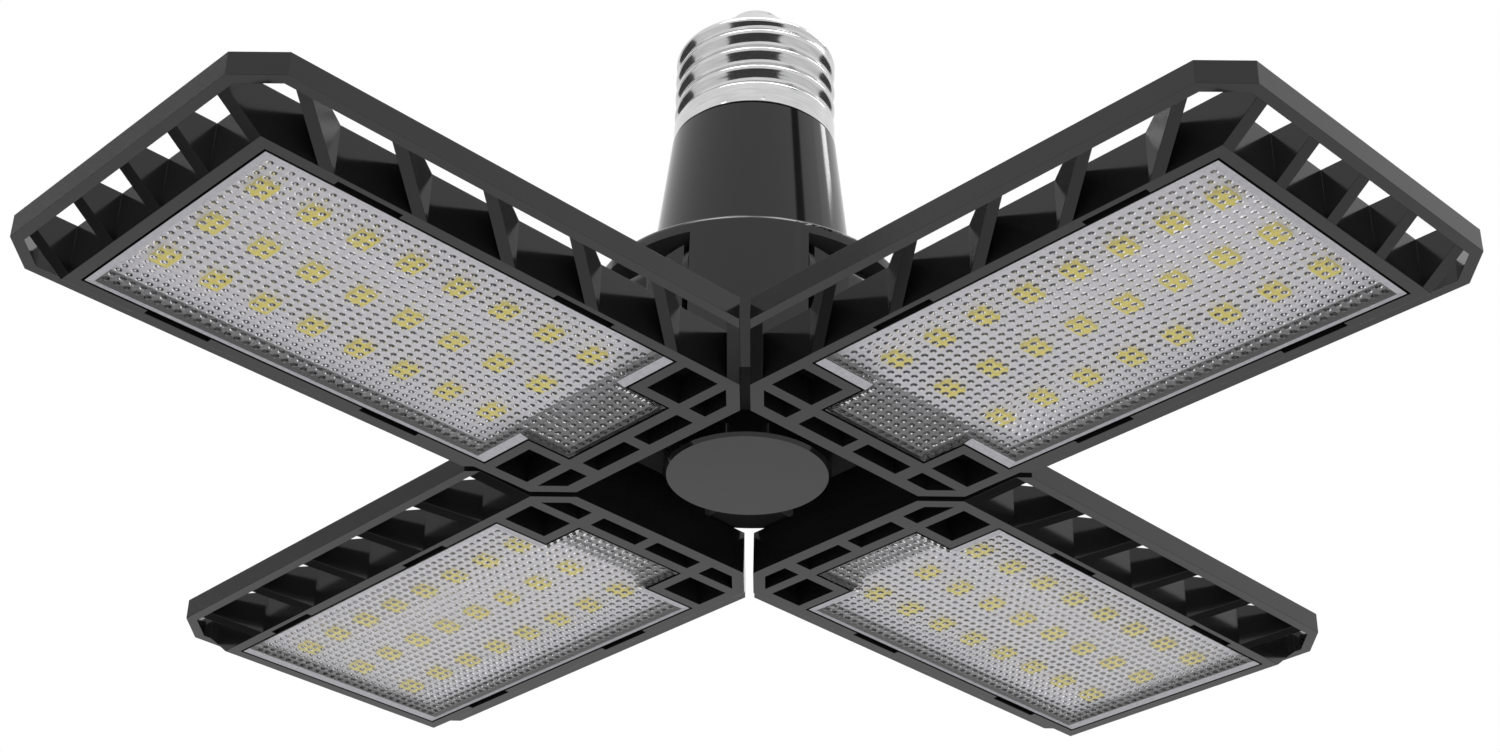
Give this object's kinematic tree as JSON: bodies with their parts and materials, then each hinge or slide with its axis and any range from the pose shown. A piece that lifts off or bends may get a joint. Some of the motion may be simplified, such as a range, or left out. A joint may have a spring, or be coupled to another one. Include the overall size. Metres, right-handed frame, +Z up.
{
  "type": "deformable garage light",
  "caption": "Screw-in ceiling light with a round hub and hinged rectangular light panels that fold up round its neck.",
  "frame": {"origin": "centre of the plane where the screw cap meets the neck", "axes": "+Z up the cap's axis; the panels point along +X, +Y, -X and -Y"},
  "size_m": [0.2208, 0.2208, 0.0905],
  "materials": {
    "nickel_cap": "bright nickel plate",
    "black_insulator": "glossy black insulator",
    "contact_metal": "bright tinned metal",
    "black_gloss_plastic": "glossy black moulded plastic",
    "circuit_board": "pale brown laminate",
    "coil_tape": "yellow tape over a ferrite core",
    "capacitor_can": "dark printed sleeve, left plain",
    "ferrite": "dark ferrite",
    "chip_plastic": "black moulded chip",
    "film_capacitor_body": "red dipped body",
    "resistor_body": "green coated ceramic",
    "wire_sleeve": "red wire sleeve",
    "steel_pin": "plain steel",
    "washer_plastic": "dark grey plastic",
    "prismatic_diffuser": "clear prismatic plastic over white",
    "white_board": "white solder mask",
    "led_phosphor": "yellow phosphor"
  },
  "bodies": {
    "hub": {"screw_shell": "nickel_cap", "cap_insulator": "black_insulator", "centre_contact": "contact_metal", "neck_housing": "black_gloss_plastic", "hub_body": "black_gloss_plastic", "bottom_cover": "black_gloss_plastic", "driver_board": "circuit_board", "driver_transformer": "coil_tape", "driver_capacitor": "capacitor_can", "driver_choke": "ferrite", "driver_rectifier": "chip_plastic", "driver_film_capacitor": "film_capacitor_body", "fuse_resistor": "resistor_body", "supply_leads": "wire_sleeve", "hinge_pin_right": "steel_pin", "hinge_pin_back": "steel_pin", "hinge_pin_left": "steel_pin", "hinge_pin_front": "steel_pin", "friction_washers_right": "washer_plastic", "friction_washers_back": "washer_plastic", "friction_washers_left": "washer_plastic", "friction_washers_front": "washer_plastic"},
    "panel_right": {"panel_frame_right": "black_gloss_plastic", "diffuser_right": "prismatic_diffuser", "led_board_right": "white_board", "leds_right": "led_phosphor"},
    "panel_back": {"panel_frame_back": "black_gloss_plastic", "diffuser_back": "prismatic_diffuser", "led_board_back": "white_board", "leds_back": "led_phosphor"},
    "panel_left": {"panel_frame_left": "black_gloss_plastic", "diffuser_left": "prismatic_diffuser", "led_board_left": "white_board", "leds_left": "led_phosphor"},
    "panel_front": {"panel_frame_front": "black_gloss_plastic", "diffuser_front": "prismatic_diffuser", "led_board_front": "white_board", "leds_front": "led_phosphor"}
  },
  "joints": [
    {"name": "right_hinge", "type": "hinge", "parent": "hub", "child": "panel_right", "pos_m": [0.0193, 0, -0.0371], "axis": [0, -1, 0], "range_deg": [0, 90]},
    {"name": "back_hinge", "type": "hinge", "parent": "hub", "child": "panel_back", "pos_m": [0, 0.0193, -0.0371], "axis": [1, 0, 0], "range_deg": [0, 90]},
    {"name": "left_hinge", "type": "hinge", "parent": "hub", "child": "panel_left", "pos_m": [-0.0193, 0, -0.0371], "axis": [0, 1, 0], "range_deg": [0, 90]},
    {"name": "front_hinge", "type": "hinge", "parent": "hub", "child": "panel_front", "pos_m": [0, -0.0193, -0.0371], "axis": [-1, 0, 0], "range_deg": [0, 90]}
  ]
}
